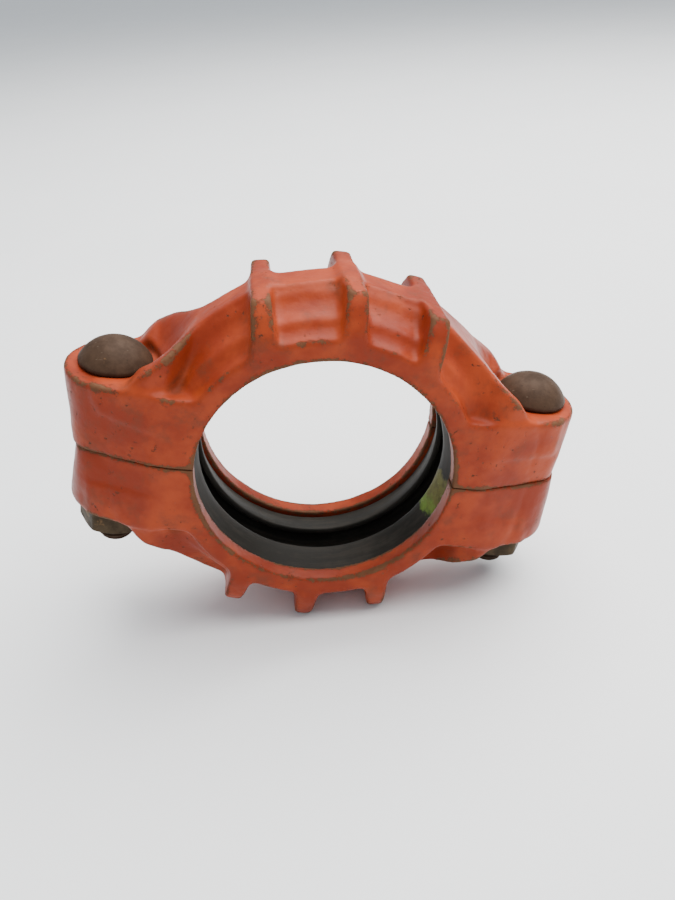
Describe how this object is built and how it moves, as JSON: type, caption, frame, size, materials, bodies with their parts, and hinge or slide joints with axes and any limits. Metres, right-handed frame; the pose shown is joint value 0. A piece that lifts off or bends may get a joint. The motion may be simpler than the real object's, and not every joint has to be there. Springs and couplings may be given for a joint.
{
  "type": "pipe coupling",
  "caption": "Grooved-pipe coupling: ribbed half housings bolted together round a C-section gasket; the nuts unscrew to let the halves part.",
  "frame": {"origin": "centre of the bore, where the two pipe ends meet, in the plane where the two half housings meet", "axes": "+Y along the pipe, +X from the left bolt to the right bolt, +Z along the bolts towards their heads"},
  "size_m": [0.1752, 0.048, 0.1294],
  "materials": {
    "enamel": "worn glossy orange enamel on cast iron",
    "gasket_rubber": "satin",
    "bolt_steel": "brown weathered steel",
    "nut_steel": "weathered steel with old yellow plating"
  },
  "bodies": {
    "base": {"lower_housing": "enamel", "gasket": "gasket_rubber"},
    "top_half": {"upper_housing": "enamel"},
    "left_bolt": {"left_bolt": "bolt_steel"},
    "right_bolt": {"right_bolt": "bolt_steel"},
    "left_nut": {"left_nut": "nut_steel"},
    "right_nut": {"right_nut": "nut_steel"}
  },
  "joints": [
    {"name": "housing_lift", "type": "slide", "parent": "base", "child": "top_half", "axis": [0, 0, 1], "range_m": [0, 0.01758]},
    {"name": "left_nut_spin", "type": "hinge", "parent": "base", "child": "left_nut", "pos_m": [-0.071, 0, -0.0252], "axis": [0, 0, -1], "range_deg": [0, 3240]},
    {"name": "right_nut_spin", "type": "hinge", "parent": "base", "child": "right_nut", "pos_m": [0.071, 0, -0.0252], "axis": [0, 0, -1], "range_deg": [0, 3240]},
    {"name": "left_bolt_lift", "type": "slide", "parent": "base", "child": "left_bolt", "axis": [0, 0, 1], "range_m": [0, 0.01758]},
    {"name": "right_bolt_lift", "type": "slide", "parent": "base", "child": "right_bolt", "axis": [0, 0, 1], "range_m": [0, 0.01758]}
  ],
  "couplings": [
    {"joint": "left_nut_spin", "follows": "housing_lift", "rad_per_m": 3215.8},
    {"joint": "right_nut_spin", "follows": "housing_lift", "rad_per_m": 3215.8},
    {"joint": "left_bolt_lift", "follows": "housing_lift", "ratio": 1},
    {"joint": "right_bolt_lift", "follows": "housing_lift", "ratio": 1}
  ]
}
